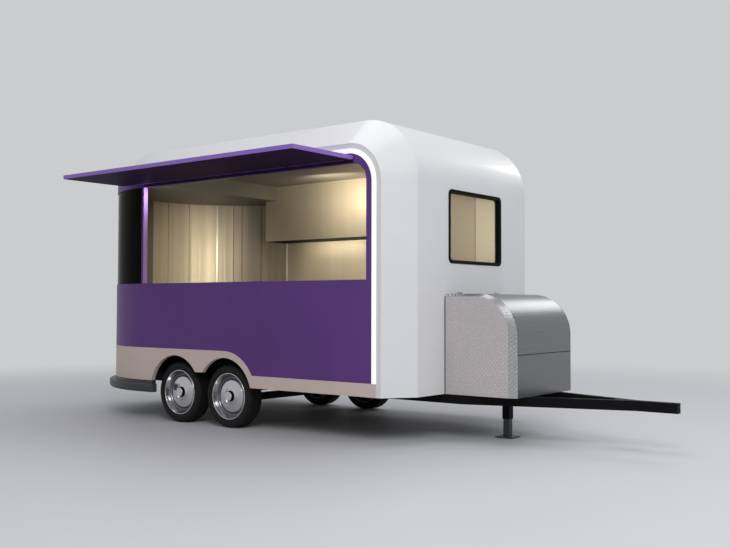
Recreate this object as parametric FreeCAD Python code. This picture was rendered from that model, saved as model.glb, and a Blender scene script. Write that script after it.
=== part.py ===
import FreeCAD, Part

import math
import os

from FreeCAD import Vector

# Concession trailer, in millimetres. +X points forward along the drawbar, +Y to the
# door side, -Y to the serving side, +Z up. The origin is the middle of the hitch pin hole.

# Ground and hitch
hitch_height = 328.0
ground_z = -hitch_height
pin_hole_r = 13.0
nose_beyond_pin = 45.0

# Body shell
front_x = -1660.0
body_width = 2171.0
roof_height = 2550.0
floor_height = 367.0
straight_length = 3007.0
wall = 40.0
corner_r = 500.0
chamfer_side = 240.0
chamfer_run = 173.0
chamfer_rise = 216.0
side_corner_r = 316.0

# Floor, lining and ceiling
floor_thickness = 45.0
lining = 6.0
ceiling_height = roof_height - 198.0
ceiling_thickness = 8.0
soffit_height = roof_height - 350.0
soffit_front = straight_length - 57.0

# Bands round the side panels
band_width = 45.0
lip_width = 37.0
lip_proud = 8.0

# Lower skirt
skirt_low_height = 471.0
skirt_high_height = 669.0
arch_r = 337.0

# Serving opening and its corner glass
opening_front = 314.0
opening_rear = straight_length - 27.0
sill_height = 1266.0
opening_top = roof_height - 376.0
opening_corner_r = 130.0
corner_glass_angle = 50.0
corner_glass_thickness = 8.0
corner_glass_inset = 6.0

# Serving hatch
hatch_front = 440.0
hatch_rear = straight_length + 230.0
hatch_reach = 678.0
hatch_thickness = 33.0
hatch_mid_height = opening_top + 41.0
hatch_pin_r = 5.0
hatch_gap = 5.5
hatch_running_gap = 0.08
lug_width = 30.0
lug_low = 47.0
lug_rise = 75.0
lug_first = 500.0
lug_last = straight_length - 37.0
lug_count = 5

# Front window
window_half_width = 415.0
window_sill = 1407.0
window_below_roof = 543.0
window_top = roof_height - window_below_roof
window_corner_r = 45.0
window_frame_width = 28.0
window_frame_proud = 4.0
pane_thickness = 5.0
pane_depth = 34.0

# Entry door on the far side
door_front = 640.0
door_width = 680.0
door_bottom = 480.0
door_top = roof_height - 340.0
door_corner_r = 60.0
door_gap = 5.0
hinge_pin_r = 4.0
hinge_running_gap = 0.05
hinge_axis_proud = 12.0
hinge_barrel_r = 8.0
hinge_barrel = 38.0
hinge_leaf = 44.0
hinge_sheet = 5.0
hinge_end_gap = 1.5
hinge_from_end = 220.0
handle_height = 1330.0

# Wheels and axles
axle_before_curve = 1126.0
front_axle = straight_length - axle_before_curve
axle_spacing = 640.0
tyre_r = 273.0
tyre_width = 165.0
tyre_shoulder = 22.0
rim_r = 203.0
rim_width = 148.0
rim_lip = 9.0
dish_r = 176.0
dish_floor = 12.0
disc_r = 136.0
disc_face = 34.0
disc_sheet = 8.0
hub_hole_r = 47.0
cap_r = 42.0
cap_face = 78.0
hub_back = 58.0
bore_end = 4.0
wheel_mid_y = 953.0
spindle_r = 17.0
spindle_gap = 0.05
beam_size = 60.0
beam_wall = 6.0
beam_half_length = 790.0
arm_length = 110.0
arm_thickness = 34.0
arm_half_height = 30.0

# Wheel boxes
box_height = 690.0
box_inner_y = 800.0
box_sheet = 10.0

# Frame
rail_top = floor_height
rail_depth = 75.0
rail_width = 50.0
rail_outer_y = 450.0
rail_past_curve = 843.0
rail_rear = straight_length + rail_past_curve
rail_wall = 5.0
bend_x = 150.0
apex_x = 1400.0
drawbar_width = 60.0
cross_in_nose = -120.0
cross_in_cabin = 1250.0
cross_past_curve = 143.0
cross_from_rail_end = 50.0
cross_places = (
    cross_in_nose,
    cross_in_cabin,
    straight_length + cross_past_curve,
    rail_rear - cross_from_rail_end,
)
cross_size = 50.0
cross_shallow = 10.0

# Jack
jack_x = 300.0
jack_tube_size = 64.0
jack_tube_wall = 5.0
jack_tube_bottom = 150.0
jack_leg_gap = 0.3
jack_leg_top = 230.0
jack_foot_size = 160.0
jack_foot_thickness = 10.0

# Bumper
bumper_proud = 60.0
bumper_bottom = 262.0
bumper_top = 340.0
bumper_in = 45.0
bumper_wall = 12.0
bumper_front = straight_length - 172.0
bumper_corner = 18.0

# Tail lamps
lamp_angle = 62.0
lamp_r = 48.0
lamp_height = 520.0
lamp_depth = 22.0

# Tool box
box_side_x = 572.0
box_front_x = 640.0
box_top = 1160.0
box_side_top = 1140.0
box_bottom = floor_height
box_r = 330.0
box_side_r = 285.0
box_half_width = 471.0
box_front_half = 445.0
box_wall = 12.0
box_seam = 690.0
lid_gap = 5.0
lid_flange = 36.0
lid_hinge_leaf = 30.0
lid_hinge_places = (-290.0, 290.0)

# Inside
overhead_front_y = 700.0
overhead_past_curve = 113.0
overhead_rear = straight_length + overhead_past_curve
overhead_below_roof = 790.0
overhead_bottom = roof_height - overhead_below_roof
behind_door = 120.0
counter_depth = 420.0
counter_thickness = 30.0
back_counter_depth = 560.0
counter_upright = 30.0
housing_wall = 15.0

half_width = body_width / 2
half_flat = half_width - chamfer_side
roof_z = ground_z + roof_height
floor_z = ground_z + floor_height
rear_axis_x = front_x - straight_length
slope_up = math.hypot(chamfer_side, chamfer_rise)
slope_along = math.hypot(chamfer_side, chamfer_run)
corner_x = front_x - corner_r
axle_z = ground_z + tyre_r
axle_xs = (front_x - front_axle, front_x - front_axle - axle_spacing)
sides = (("near", -1), ("far", 1))
lip_inset = band_width
panel_inset = band_width + lip_width


def save(name, shape):
    shape = shape.removeSplitter()
    if not shape.isValid():
        raise ValueError(name + " is not a valid shape")
    shape.exportStep(os.path.join("parts", name + ".step"))
    print(name, len(shape.Solids), "solid(s)", round(shape.Volume / 1e6, 3), "dm3")


def back(distance):
    # x of a point that lies this far behind the front wall
    return front_x - distance


def up(height):
    # z of a point that lies this high above the ground
    return ground_z + height


def block(x0, x1, y0, y1, z0, z1):
    low = Vector(min(x0, x1), min(y0, y1), min(z0, z1))
    return Part.makeBox(abs(x1 - x0), abs(y1 - y0), abs(z1 - z0), low)


def mirrored(shape, side):
    return shape if side < 0 else shape.mirror(Vector(0, 0, 0), Vector(0, 1, 0))


def polygon(points):
    return Part.makePolygon(points + [points[0]])


def prism(points, travel):
    return Part.Face(polygon(points)).extrude(travel)


def tube_along_y(x, z, r, y0, y1):
    return Part.makeCylinder(r, abs(y1 - y0), Vector(x, min(y0, y1), z), Vector(0, 1, 0))


def profile_wire(x_front, z_top, r, y, x_rear, z_bottom):
    # side view outline with one rounded top front corner
    low_rear = Vector(x_rear, y, z_bottom)
    low_front = Vector(x_front, y, z_bottom)
    arc_low = Vector(x_front, y, z_top - r)
    middle = r * math.sqrt(0.5)
    arc_mid = Vector(x_front - r + middle, y, z_top - r + middle)
    arc_top = Vector(x_front - r, y, z_top)
    high_rear = Vector(x_rear, y, z_top)
    edges = [
        Part.makeLine(low_rear, low_front),
        Part.makeLine(low_front, arc_low),
        Part.Arc(arc_low, arc_mid, arc_top).toShape(),
        Part.makeLine(arc_top, high_rear),
        Part.makeLine(high_rear, low_rear),
    ]
    return Part.Wire(edges)


def body_form(t, z_bottom):
    # outer form of the body, moved inwards by t: chamfered box with a round rear
    flat = half_flat - t * (slope_up - chamfer_side) / chamfer_rise
    side_y = half_width - t
    run = chamfer_run + t * (slope_along - chamfer_run) / chamfer_side
    drop = chamfer_rise + t * (slope_up - chamfer_rise) / chamfer_side
    outer = (front_x - t, roof_z - t, corner_r - t)
    inner = (front_x - run, roof_z - drop, side_corner_r - run + chamfer_run)
    sections = ((inner, -side_y), (outer, -flat), (outer, flat), (inner, side_y))
    wires = []
    for (x_front, z_top, r), y in sections:
        wires.append(profile_wire(x_front, z_top, r, y, rear_axis_x, z_bottom))
    straight = Part.makeLoft(wires, True, True)
    outline = polygon([
        Vector(rear_axis_x, 0, z_bottom),
        Vector(rear_axis_x, -side_y, z_bottom),
        Vector(rear_axis_x, -side_y, roof_z - drop),
        Vector(rear_axis_x, -flat, roof_z - t),
        Vector(rear_axis_x, 0, roof_z - t),
    ])
    axis = Vector(rear_axis_x, 0, 0)
    rear = Part.Face(outline).revolve(axis, Vector(0, 0, 1), -180)
    return straight.fuse(rear)


def side_block(inset, side, depth, proud=0.0, z_bottom=floor_z):
    # plate in the side plane, bounded by the side outline moved inwards by inset
    x_front = front_x - chamfer_run - inset
    z_top = roof_z - chamfer_rise - inset
    y_in = -half_width + depth
    wire = profile_wire(x_front, z_top, side_corner_r - inset, y_in, rear_axis_x, z_bottom)
    plate = Part.Face(wire).extrude(Vector(0, -depth - proud, 0))
    return mirrored(plate, side)


def rear_ring(r_in, r_out, z0, z1, start=0.0, sweep=180.0):
    # part of a ring about the rear axis, start and sweep in degrees from the serving side
    outline = polygon([
        Vector(rear_axis_x, -r_in, z0),
        Vector(rear_axis_x, -r_out, z0),
        Vector(rear_axis_x, -r_out, z1),
        Vector(rear_axis_x, -r_in, z1),
    ])
    axis = Vector(rear_axis_x, 0, 0)
    face = Part.Face(outline)
    face.rotate(axis, Vector(0, 0, 1), -start)
    return face.revolve(axis, Vector(0, 0, 1), -sweep)


def skirt_zone(side):
    # everything on one side that lies below the line between skirt and panel
    low = up(skirt_low_height)
    high = up(skirt_high_height)
    swell = skirt_high_height - tyre_r
    wheel_x = axle_xs[0]
    angle = math.asin((low - axle_z) / swell)
    swell_angle = (angle + math.pi / 2) / 2
    y = -half_width - 100
    top_mid = Vector(wheel_x + swell * math.cos(swell_angle), y, axle_z + swell * math.sin(swell_angle))
    bottom = floor_z - 50
    rear_high = Vector(rear_axis_x - 10, y, high)
    crown = Vector(wheel_x, y, high)
    join = Vector(wheel_x + swell * math.cos(angle), y, low)
    front_low = Vector(front_x, y, low)
    front_bottom = Vector(front_x, y, bottom)
    rear_bottom = Vector(rear_axis_x - 10, y, bottom)
    edges = [
        Part.makeLine(rear_high, crown),
        Part.Arc(crown, top_mid, join).toShape(),
        Part.makeLine(join, front_low),
        Part.makeLine(front_low, front_bottom),
        Part.makeLine(front_bottom, rear_bottom),
        Part.makeLine(rear_bottom, rear_high),
    ]
    zone = Part.Face(Part.Wire(edges)).extrude(Vector(0, 300, 0))
    return mirrored(zone, side)


def rounded_block(x0, x1, y0, y1, z0, z1, r, along):
    # block whose four edges along one axis are rounded
    shape = block(x0, x1, y0, y1, z0, z1)
    picked = []
    for edge in shape.Edges:
        tangent = edge.tangentAt(edge.FirstParameter)
        if abs(tangent.dot(along)) > 0.99:
            picked.append(edge)
    return shape.makeFillet(r, picked)


def serving_cut():
    y = -half_width - 60
    r = opening_corner_r
    top = up(opening_top)
    sill = up(sill_height)
    x_front = back(opening_front)
    x_rear = back(opening_rear)
    middle = r * math.sqrt(0.5)
    low_front = Vector(x_front, y, sill)
    arc_low = Vector(x_front, y, top - r)
    arc_mid = Vector(x_front - r + middle, y, top - r + middle)
    arc_top = Vector(x_front - r, y, top)
    high_rear = Vector(x_rear, y, top)
    low_rear = Vector(x_rear, y, sill)
    edges = [
        Part.makeLine(low_front, arc_low),
        Part.Arc(arc_low, arc_mid, arc_top).toShape(),
        Part.makeLine(arc_top, high_rear),
        Part.makeLine(high_rear, low_rear),
        Part.makeLine(low_rear, low_front),
    ]
    return Part.Face(Part.Wire(edges)).extrude(Vector(0, 160 + wall, 0))


def door_cut(gap, y0, y1):
    x_front = back(door_front) - gap
    x_rear = back(door_front + door_width) + gap
    return rounded_block(
        x_rear, x_front, y0, y1, up(door_bottom) + gap, up(door_top) - gap,
        door_corner_r - gap, Vector(0, 1, 0),
    )


def window_cut(inset, x0, x1):
    y = window_half_width - inset
    z0 = up(window_sill) + inset
    z1 = up(window_top) - inset
    return rounded_block(x0, x1, -y, y, z0, z1, window_corner_r - inset * 0.6, Vector(1, 0, 0))


def glass_cut():
    top = up(opening_top)
    sill = up(sill_height)
    return rear_ring(half_width - 200, half_width + 50, sill, top, 0.0, corner_glass_angle)


def hinge_pair(leaf, gap):
    # butt hinge about +Z, standing on the plane y = 0: the fixed half on the +X side,
    # the moving half on the -X side and above it
    axis_y = hinge_axis_proud
    low = -hinge_barrel
    axis_low = Vector(0, axis_y, low)
    up_z = Vector(0, 0, 1)
    pin = Part.makeCylinder(hinge_pin_r, 2 * hinge_barrel, axis_low, up_z)
    fixed = pin.fuse(Part.makeCylinder(hinge_barrel_r, hinge_barrel - hinge_end_gap, axis_low, up_z))
    half = hinge_barrel - hinge_end_gap
    start = Vector(0, axis_y, hinge_end_gap)
    moving = Part.makeCylinder(hinge_barrel_r, half, start, up_z)
    for sign, z0 in ((1, low), (-1, hinge_end_gap)):
        plate = block(sign * gap, sign * leaf, 0, hinge_sheet, z0, z0 + half)
        web = prism([
            Vector(0, axis_y + hinge_barrel_r * 0.9, z0),
            Vector(0, axis_y - hinge_barrel_r, z0),
            Vector(sign * gap, 0, z0),
            Vector(sign * (gap + hinge_axis_proud), 0, z0),
        ], Vector(0, 0, half))
        if sign > 0:
            fixed = fixed.fuse(plate).fuse(web)
        else:
            moving = moving.fuse(plate).fuse(web)
    bore = Part.makeCylinder(hinge_pin_r + hinge_running_gap, 2 * hinge_barrel + 2, axis_low, up_z)
    return fixed, moving, bore


def arches(side):
    cuts = []
    for x in axle_xs:
        cuts.append(tube_along_y(x, axle_z, arch_r, -half_width - 20, -half_width + wall + 20))
    return mirrored(cuts[0].fuse(cuts[1]), side)


os.makedirs("parts", exist_ok=True)

# Shell of the body, split where its panels meet
outer_form = body_form(0.0, floor_z)
inner_form = body_form(wall, floor_z - 10)
shell = outer_form.cut(inner_form)
near_block = side_block(0.0, -1, wall)
far_block = side_block(0.0, 1, wall)
reach = 4 * (straight_length + half_width)
front_zone = block(corner_x, front_x + 10, -half_width - 10, half_width + 10, floor_z - 20, roof_z + 10)
white_low_z = roof_z - chamfer_rise - band_width
rear_low = block(rear_axis_x - reach, rear_axis_x, -half_width - 10, half_width + 10, floor_z - 20, white_low_z)

front_wall = shell.common(front_zone).cut(near_block).cut(far_block)
front_wall = front_wall.cut(window_cut(0.0, front_x - 100, front_x + 50))
save("front_wall", front_wall)

roof_shell = shell.cut(front_zone).cut(near_block).cut(far_block).cut(rear_low)
save("roof_shell", roof_shell)

bands = []
panels = {}
skirts = []
for name, side in sides:
    zone = skirt_zone(side)
    band = side_block(0.0, side, wall).cut(side_block(lip_inset, side, wall)).common(shell)
    bands.append(band)
    below_tongue = block(axle_xs[1], axle_xs[0], -reach, reach, -reach, up(skirt_low_height))
    skirt = side_block(lip_inset, side, wall).common(zone).common(shell)
    skirt = skirt.cut(arches(side)).cut(below_tongue)
    skirts.append(skirt)
    panels[name] = side_block(panel_inset, side, wall).cut(zone).common(shell)
save("side_bands", Part.makeCompound(bands))
save("side_skirts", Part.makeCompound(skirts))

serving_panel = panels["near"].cut(serving_cut())
save("serving_panel", serving_panel)
door_panel = panels["far"].cut(door_cut(0.0, half_width - wall - 30, half_width + 30))
save("door_panel", door_panel)

# Raised lip that follows the edge of the panels and runs round the rear
lip_top = roof_z - chamfer_rise - lip_inset
lip_low = lip_top - lip_width
lip = rear_ring(half_width - wall, half_width + lip_proud, lip_low, lip_top)
for name, side in sides:
    outer = side_block(lip_inset, side, wall, lip_proud, up(skirt_low_height))
    inner = side_block(panel_inset, side, wall, lip_proud + 5, up(skirt_low_height) - 5)
    lip = lip.fuse(outer.cut(inner))
lip = lip.cut(inner_form)
save("lip_trim", lip)

# Round rear wall, its skirt and the curved pane beside the serving opening
rear_wall = rear_ring(half_width - wall, half_width, up(skirt_high_height), lip_low)
rear_wall = rear_wall.cut(glass_cut())
save("rear_wall", rear_wall)
rear_skirt = rear_ring(half_width - wall, half_width, floor_z, up(skirt_high_height))
lamp_seats = []
lamps = []
for sign in (-1, 1):
    turn = math.radians(lamp_angle)
    direction = Vector(-math.sin(turn), sign * math.cos(turn), 0)
    start = Vector(rear_axis_x, 0, up(lamp_height)) + direction * (half_width - wall / 2)
    lamp = Part.makeCylinder(lamp_r, wall / 2 + lamp_depth, start, direction)
    lamp_seats.append(Part.makeCylinder(lamp_r, wall, start, direction))
    lamps.append(lamp)
for seat in lamp_seats:
    rear_skirt = rear_skirt.cut(seat)
save("rear_skirt", rear_skirt)
save("tail_lamps", Part.makeCompound(lamps))
glass_out = half_width - corner_glass_inset
corner_glass = rear_ring(
    glass_out - corner_glass_thickness, glass_out, up(sill_height), up(opening_top),
    0.0, corner_glass_angle,
)
save("corner_glass", corner_glass)

# Floor, wheel boxes and lining
box_x_front = axle_xs[0] + arch_r
box_x_rear = axle_xs[1] - arch_r
floor_top = floor_z + floor_thickness
floor_panel = body_form(wall, floor_z).common(block(-reach, 0, -reach, reach, floor_z, floor_top))
boxes = []
box_outers = []
for name, side in sides:
    y_out = -half_width + wall
    outer = block(box_x_rear, box_x_front, y_out, -box_inner_y, floor_z, up(box_height))
    hollow = block(
        box_x_rear + box_sheet, box_x_front - box_sheet, y_out - 1, -box_inner_y - box_sheet,
        floor_z - 1, up(box_height) - box_sheet,
    )
    boxes.append(mirrored(outer.cut(hollow), side))
    box_outers.append(mirrored(outer, side))
for outer in box_outers:
    floor_panel = floor_panel.cut(outer)
save("floor_panel", floor_panel)
save("wheel_boxes", Part.makeCompound(boxes))

lining_form = body_form(wall, floor_top).cut(body_form(wall + lining, floor_top - 1))
lining_top = up(ceiling_height)
wall_lining = lining_form.common(block(-reach, 0, -reach, reach, floor_top, lining_top))
wall_lining = wall_lining.cut(serving_cut())
wall_lining = wall_lining.cut(glass_cut())
wall_lining = wall_lining.cut(door_cut(0.0, half_width - wall - 30, half_width + 30))
wall_lining = wall_lining.cut(window_cut(0.0, front_x - 100, front_x + 50))
for outer in box_outers:
    wall_lining = wall_lining.cut(outer)
save("wall_lining", wall_lining)

ceiling_slab = block(-reach, 0, -reach, reach, lining_top, lining_top + ceiling_thickness)
ceiling_panel = body_form(wall, floor_z).common(ceiling_slab)
save("ceiling_panel", ceiling_panel)
inside_form = body_form(wall + lining, floor_z)
soffit_slab = block(-reach, back(soffit_front), -reach, reach, up(soffit_height), lining_top)
soffit_zone = inside_form.common(soffit_slab)
soffit_hollow = body_form(wall + lining + housing_wall, floor_z).common(block(
    -reach, back(soffit_front) - housing_wall, -reach, reach, up(soffit_height) + housing_wall, lining_top + 1,
))
save("rear_soffit", soffit_zone.cut(soffit_hollow))

# Counters and the housing above the rear counter
inside_y = half_width - wall - lining
overhead_front = back(door_front + door_width + behind_door)
overhead = block(
    back(overhead_rear), overhead_front, overhead_front_y, inside_y, up(overhead_bottom), lining_top,
)
overhead = overhead.common(inside_form).cut(soffit_zone)
overhead_hollow = block(
    back(overhead_rear) + housing_wall, overhead_front - housing_wall,
    overhead_front_y + housing_wall, inside_y - housing_wall,
    up(overhead_bottom) + housing_wall, lining_top + 1,
)
overhead_hollow = overhead_hollow.common(body_form(wall + lining + housing_wall, floor_z))
overhead_hollow = overhead_hollow.cut(block(
    -reach, back(soffit_front) + housing_wall, -reach, reach, up(soffit_height) - housing_wall, lining_top + 2,
))
save("overhead_housing", overhead.cut(overhead_hollow))


def counter(x_front, x_rear, depth, top_z, side):
    # worktop on three uprights, standing on the floor along one wall
    y_in = -inside_y + depth
    top = block(x_rear, x_front, -inside_y, y_in, top_z - counter_thickness, top_z)
    places = (x_rear, (x_rear + x_front - counter_upright) / 2, x_front - counter_upright)
    for x in places:
        upright = block(x, x + counter_upright, -inside_y, y_in - 20, floor_top, top_z - counter_thickness)
        top = top.fuse(upright)
    top = mirrored(top, side)
    for outer in box_outers:
        top = top.cut(outer)
    return top


counter_front = back(opening_front)
counter_rear = back(opening_rear)
serving_counter = counter(counter_front, counter_rear, counter_depth, up(sill_height), -1)
save("serving_counter", serving_counter)
back_counter = counter(overhead_front, counter_rear, back_counter_depth, up(sill_height), 1)
save("back_counter", back_counter)

# Front window
frame_front = front_x + window_frame_proud
frame_ring = window_cut(0.0, front_x - wall - lining, frame_front)
frame_ring = frame_ring.cut(window_cut(window_frame_width, front_x - 200, front_x + 50))
pane_x = front_x - pane_depth
pane_seat = window_cut(window_frame_width - 8, pane_x - pane_thickness, pane_x)
save("window_frame", frame_ring.cut(pane_seat))
save("window_pane", pane_seat)

# Serving hatch with its hinge lugs and pin
hatch_z = up(hatch_mid_height)
hatch_axis_y = -half_width - hatch_gap - hatch_thickness / 2
half_plate = hatch_thickness / 2
edge_r = half_plate
plate = block(
    back(hatch_rear), back(hatch_front), hatch_axis_y - hatch_reach, hatch_axis_y,
    hatch_z - half_plate, hatch_z + half_plate,
)
rolled = Part.makeCylinder(
    edge_r, hatch_rear - hatch_front, Vector(back(hatch_rear), hatch_axis_y, hatch_z), Vector(1, 0, 0),
)
plate = plate.fuse(rolled)
lugs = []
lug_half = lug_width / 2
for count in range(lug_count):
    x = back(lug_first + (lug_last - lug_first) * count / (lug_count - 1))
    plate = plate.cut(block(
        x - lug_half - hatch_gap, x + lug_half + hatch_gap,
        hatch_axis_y - edge_r - hatch_gap, hatch_axis_y + edge_r + 1,
        hatch_z - edge_r - 1, hatch_z + edge_r + 1,
    ))
    eye = Part.makeCylinder(edge_r, lug_width, Vector(x - lug_half, hatch_axis_y, hatch_z), Vector(1, 0, 0))
    web = prism([
        Vector(x - lug_half, -half_width, up(opening_top) + lug_rise),
        Vector(x - lug_half, -half_width, up(opening_top) + lug_low),
        Vector(x - lug_half, hatch_axis_y, hatch_z - edge_r * 0.5),
        Vector(x - lug_half, hatch_axis_y - edge_r * 0.9, hatch_z + edge_r * 0.4),
    ], Vector(lug_width, 0, 0))
    lugs.append(eye.fuse(web))
pin_start = back(lug_last) - lug_half
pin_length = lug_last - lug_first + lug_width
hatch_pin = Part.makeCylinder(hatch_pin_r, pin_length, Vector(pin_start, hatch_axis_y, hatch_z), Vector(1, 0, 0))
hatch_bore = Part.makeCylinder(
    hatch_pin_r + hatch_running_gap, pin_length + 2 * hatch_gap,
    Vector(pin_start - hatch_gap, hatch_axis_y, hatch_z), Vector(1, 0, 0),
)
save("hatch_panel", plate.cut(hatch_bore))
hinge_rail = hatch_pin
for lug in lugs:
    hinge_rail = hinge_rail.fuse(lug)
save("hatch_hinge", hinge_rail)

# Entry door
door = door_cut(door_gap, half_width - wall, half_width)
hinge_x = back(door_front)
door_pins = []
hinge_low = door_bottom + hinge_from_end
hinge_high = door_top - hinge_from_end
for height in (hinge_low, (hinge_low + hinge_high) / 2, hinge_high):
    place = FreeCAD.Placement(Vector(hinge_x, half_width, up(height)), FreeCAD.Rotation())
    fixed, moving, bore = hinge_pair(hinge_leaf, door_gap)
    for piece in (fixed, moving, bore):
        piece.Placement = place
    door = door.fuse(moving).cut(bore)
    door_pins.append(fixed)
save("entry_door", door)
save("door_hinges", Part.makeCompound(door_pins))
latch_x = back(door_front + door_width) + 70
handle_z = up(handle_height)
handle_bar = rounded_block(
    latch_x - 12, latch_x + 12, half_width + 30, half_width + 44, handle_z - 90, handle_z + 90, 6, Vector(0, 1, 0),
)
handle = handle_bar
for offset in (-75, 75):
    post = Part.makeCylinder(8, 32, Vector(latch_x, half_width, handle_z + offset), Vector(0, 1, 0))
    handle = handle.fuse(post)
save("door_handle", handle)

# Frame: straight rails, rails that close to the drawbar, and cross members
rail_z0 = up(rail_top - rail_depth)
rail_z1 = up(rail_top)
straight_rails = []
nose_rails = []
for name, side in sides:
    y0 = -rail_outer_y
    y1 = -rail_outer_y + rail_width
    straight = block(back(rail_rear), front_x + bend_x, y0, y1, rail_z0, rail_z1)
    hollow = block(
        back(rail_rear) - 1, front_x + bend_x - rail_wall, y0 + rail_wall, y1 - rail_wall,
        rail_z0 + rail_wall, rail_z1 - rail_wall,
    )
    straight_rails.append(mirrored(straight.cut(hollow), side))
    tip_out = drawbar_width / 2
    run = apex_x - bend_x
    shrink = rail_width / math.cos(math.atan2(rail_outer_y - tip_out, run))
    nose = prism([
        Vector(front_x + bend_x, y0, rail_z0),
        Vector(front_x + apex_x, -tip_out, rail_z0),
        Vector(front_x + apex_x, -tip_out + shrink, rail_z0),
        Vector(front_x + bend_x, y0 + shrink, rail_z0),
    ], Vector(0, 0, rail_depth))
    nose = nose.cut(block(-reach, reach, 0, reach, -reach, reach))
    nose_rails.append(mirrored(nose, side))
drawbar_rear = front_x + apex_x - 180
drawbar_front = nose_beyond_pin
drawbar = block(drawbar_rear, drawbar_front, -drawbar_width / 2, drawbar_width / 2, rail_z0, rail_z1)
drawbar = drawbar.cut(Part.makeCylinder(pin_hole_r, rail_depth + 20, Vector(0, 0, rail_z0 - 10), Vector(0, 0, 1)))
trimmed = [rail.cut(drawbar) for rail in nose_rails]
save("frame_rails", Part.makeCompound(straight_rails))
save("nose_rails", Part.makeCompound(trimmed))
save("drawbar", drawbar)

jack_axis_x = front_x + jack_x
crosses = []
for place in cross_places:
    x = back(place)
    half_span = rail_outer_y - rail_width
    member = block(x - cross_size / 2, x + cross_size / 2, -half_span, half_span, rail_z0 + cross_shallow, rail_z1)
    crosses.append(member)
jack_span = rail_outer_y - (jack_x - bend_x) * (rail_outer_y - tip_out) / (apex_x - bend_x) - shrink
carrier = block(
    jack_axis_x - cross_size, jack_axis_x + cross_size, -jack_span, jack_span, rail_z0 + cross_shallow, rail_z1,
)
for rail in trimmed:
    carrier = carrier.cut(rail)
tube_half = jack_tube_size / 2
tube_out = block(
    jack_axis_x - tube_half, jack_axis_x + tube_half, -tube_half, tube_half, up(jack_tube_bottom), rail_z1,
)
save("cross_members", Part.makeCompound(crosses + [carrier.cut(tube_out)]))

hole_half = tube_half - jack_tube_wall
tube_hole = block(
    jack_axis_x - hole_half, jack_axis_x + hole_half, -hole_half, hole_half,
    up(jack_tube_bottom) - 1, rail_z1 - jack_tube_wall,
)
save("jack_tube", tube_out.cut(tube_hole))
leg_half = hole_half - jack_leg_gap
jack_leg = block(
    jack_axis_x - leg_half, jack_axis_x + leg_half, -leg_half, leg_half,
    ground_z + jack_foot_thickness, up(jack_leg_top),
)
foot_half = jack_foot_size / 2
jack_foot = rounded_block(
    jack_axis_x - foot_half, jack_axis_x + foot_half, -foot_half, foot_half,
    ground_z, ground_z + jack_foot_thickness, 20, Vector(0, 0, 1),
)
save("jack_leg", jack_leg.fuse(jack_foot))

# Torsion axles: a square beam under the rails, trailing arms and spindles
beams = []
arms = []
beam_z = rail_z0 - beam_size / 2
for axle_x in axle_xs:
    beam_x = axle_x + arm_length
    half = beam_size / 2
    beam = block(beam_x - half, beam_x + half, -beam_half_length, beam_half_length, beam_z - half, beam_z + half)
    inner_half = half - beam_wall
    beam_hole = block(
        beam_x - inner_half, beam_x + inner_half, -beam_half_length, beam_half_length,
        beam_z - inner_half, beam_z + inner_half,
    )
    beams.append(beam.cut(beam_hole))
    for name, side in sides:
        y0 = -beam_half_length
        y1 = -beam_half_length - arm_thickness
        beam_end = tube_along_y(beam_x, beam_z, arm_half_height, y0, y1)
        wheel_end = tube_along_y(axle_x, axle_z, arm_half_height, y0, y1)
        link = prism([
            Vector(beam_x, y1, beam_z + arm_half_height),
            Vector(beam_x, y1, beam_z - arm_half_height),
            Vector(axle_x, y1, axle_z - arm_half_height),
            Vector(axle_x, y1, axle_z + arm_half_height),
        ], Vector(0, arm_thickness, 0))
        spindle = tube_along_y(axle_x, axle_z, spindle_r, y1, -wheel_mid_y - bore_end + 4)
        arms.append(mirrored(beam_end.fuse(wheel_end).fuse(link).fuse(spindle), side))
save("axle_beams", Part.makeCompound(beams))
save("axle_arms", Part.makeCompound(arms))

# Tyre and wheel outlines as pairs of radius and distance from the wheel's middle plane,
# outwards positive
half_tyre = tyre_width / 2
half_rim = rim_width / 2
tyre_outline = (
    (rim_r, half_rim),
    (tyre_r - tyre_shoulder, half_tyre),
    (tyre_r, half_tyre - tyre_shoulder * 1.6),
)
tyre_points = list(tyre_outline) + [(r, -w) for r, w in reversed(tyre_outline)]
bore_r = spindle_r + spindle_gap
wheel_outline = (
    (rim_r, -half_rim),
    (rim_r, half_rim),
    (rim_r - rim_lip, half_rim),
    (dish_r, dish_floor),
    (disc_r + 14, dish_floor),
    (disc_r, disc_face),
    (hub_hole_r, disc_face + 6),
    (hub_hole_r, dish_floor),
    (cap_r, dish_floor),
    (cap_r, cap_face),
    (0, cap_face),
    (0, bore_end),
    (bore_r, bore_end),
    (bore_r, -hub_back),
    (hub_back, -hub_back),
    (hub_back, dish_floor - disc_sheet),
    (dish_r, dish_floor - disc_sheet),
    (rim_r - rim_lip, -half_rim),
)


def turned(points, axle_x, side):
    # ring turned about a wheel's axis
    vectors = [Vector(axle_x + r, -wheel_mid_y - w, axle_z) for r, w in points]
    face = Part.Face(polygon(vectors))
    ring = face.revolve(Vector(axle_x, -wheel_mid_y, axle_z), Vector(0, 1, 0), 360)
    return mirrored(ring, side)


for row, axle_x in (("front", axle_xs[0]), ("rear", axle_xs[1])):
    for name, side in sides:
        tag = "_" + row + "_" + name
        save("tyre" + tag, turned(tyre_points, axle_x, side))
        save("wheel" + tag, turned(wheel_outline, axle_x, side))

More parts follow.
